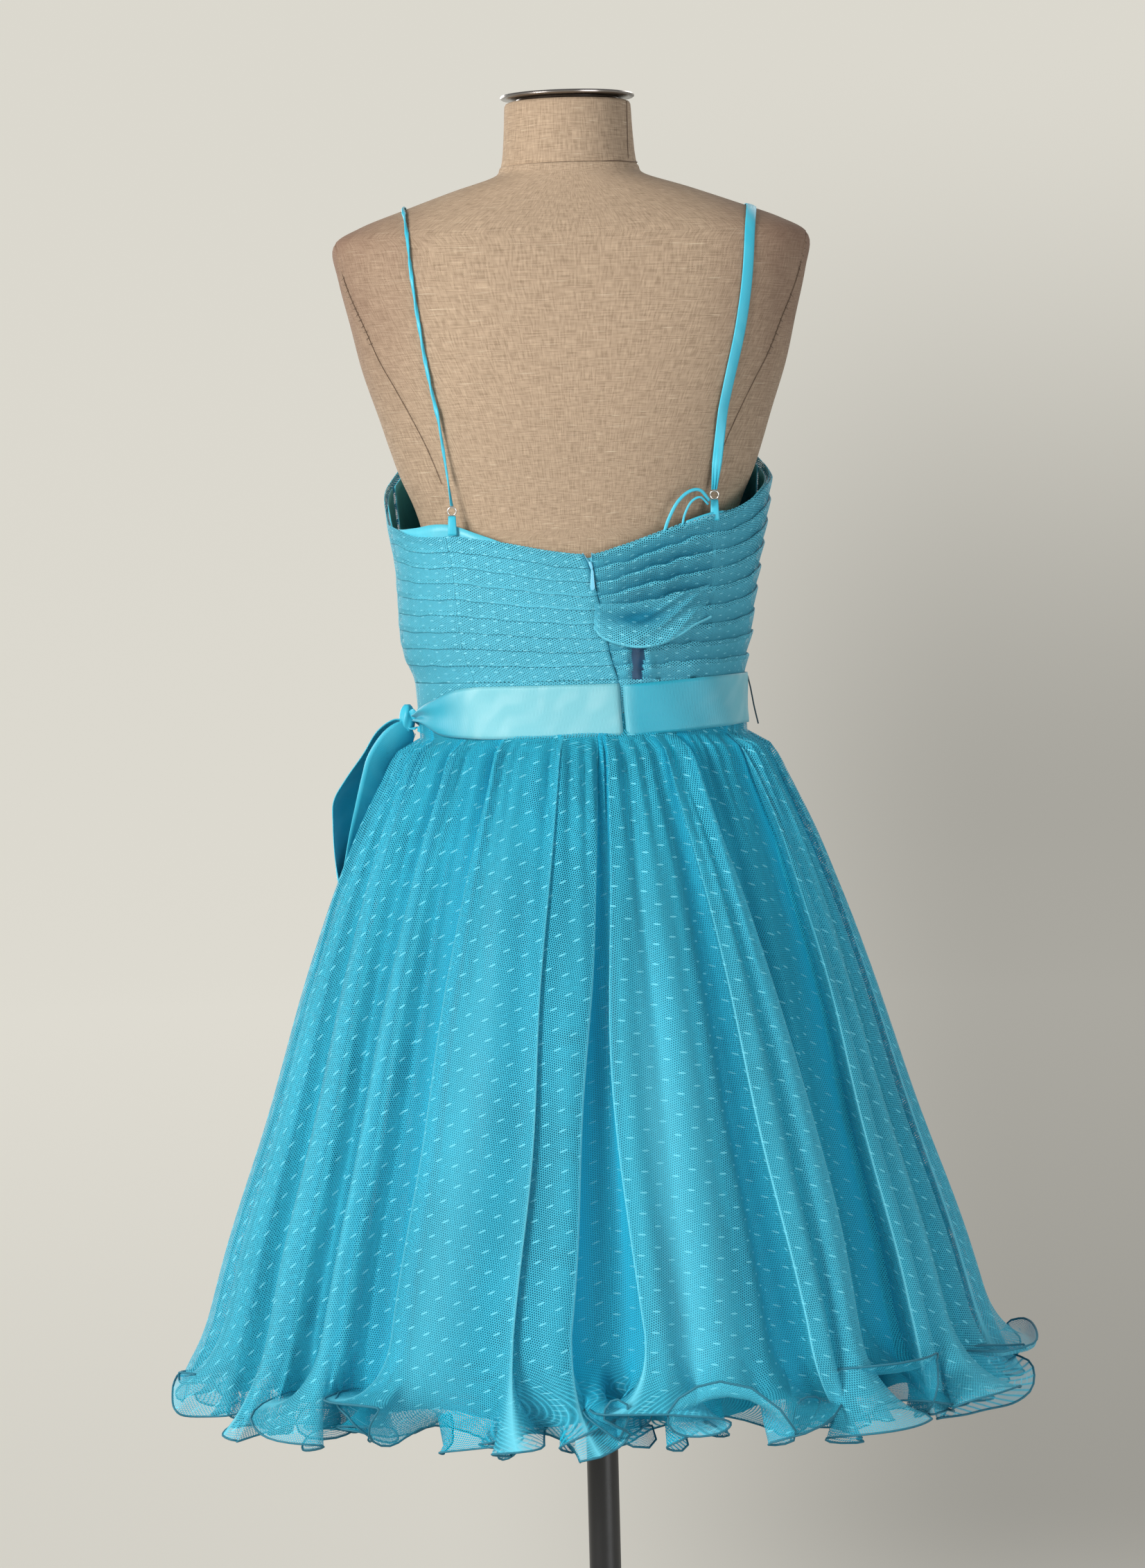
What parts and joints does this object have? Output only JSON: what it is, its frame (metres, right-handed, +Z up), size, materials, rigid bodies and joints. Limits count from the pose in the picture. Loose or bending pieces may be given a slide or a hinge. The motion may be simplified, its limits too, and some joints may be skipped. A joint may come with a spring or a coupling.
{
  "type": "mini dress on a dress form",
  "caption": "Strappy mini dress of pleated and gathered dotted net with a ribbon belt and side bow, worn by a limbless linen dress form on a pole with a round base.",
  "frame": {"origin": "on the floor, at the middle of the base's underside", "axes": "+Z up along the pole, front of the dress towards -Y, the wearer's left towards +X"},
  "size_m": [0.6434, 0.5946, 1.4992],
  "materials": {
    "linen": "coarse undyed linen, slightly slubby",
    "neck_steel": "polished at the rim",
    "black_metal": "satin black paint",
    "dotted_tulle": "fine net with woven dots",
    "plain_tulle": "fine plain net",
    "satin": "lining satin",
    "belt_ribbon": "ribbed satin ribbon",
    "nickel": "bright",
    "zip_enamel": "glossy enamel",
    "dark_thread": "crochet thread"
  },
  "bodies": {
    "dress": {"form_torso": "linen", "form_neck": "linen", "form_cap": "neck_steel", "form_pole": "black_metal", "form_base": "black_metal", "bodice_back_left": "dotted_tulle", "bodice_side_left": "dotted_tulle", "bodice_back_right": "dotted_tulle", "bodice_side_right": "dotted_tulle", "bodice_front": "dotted_tulle", "bodice_loose_pleat": "dotted_tulle", "lining_back_left": "satin", "lining_back_right": "satin", "lining_front": "satin", "zip_tape": "satin", "zip_slider": "zip_enamel", "skirt_dotted_tulle": "dotted_tulle", "skirt_plain_tulle": "plain_tulle", "skirt_satin": "satin", "belt_left": "belt_ribbon", "belt_right": "belt_ribbon", "bow_knot": "belt_ribbon", "bow_loop": "belt_ribbon", "bow_small_loop": "belt_ribbon", "bow_tail_left": "belt_ribbon", "bow_tail_right": "belt_ribbon", "belt_carrier": "dark_thread", "strap_left": "belt_ribbon", "strap_right": "belt_ribbon", "strap_ring_left": "nickel", "strap_ring_right": "nickel", "strap_tab_left": "belt_ribbon", "strap_tab_right": "belt_ribbon", "hanger_loop_outer": "belt_ribbon", "hanger_loop_inner": "belt_ribbon"},
    "pull_tab": {"zip_pull_tab": "zip_enamel"}
  },
  "joints": [
    {"name": "pull_tab_swing", "type": "hinge", "parent": "dress", "child": "pull_tab", "pos_m": [-0.00951, 0.10032, 1.1205], "axis": [1, 0, 0], "range_deg": [0, 150]}
  ]
}
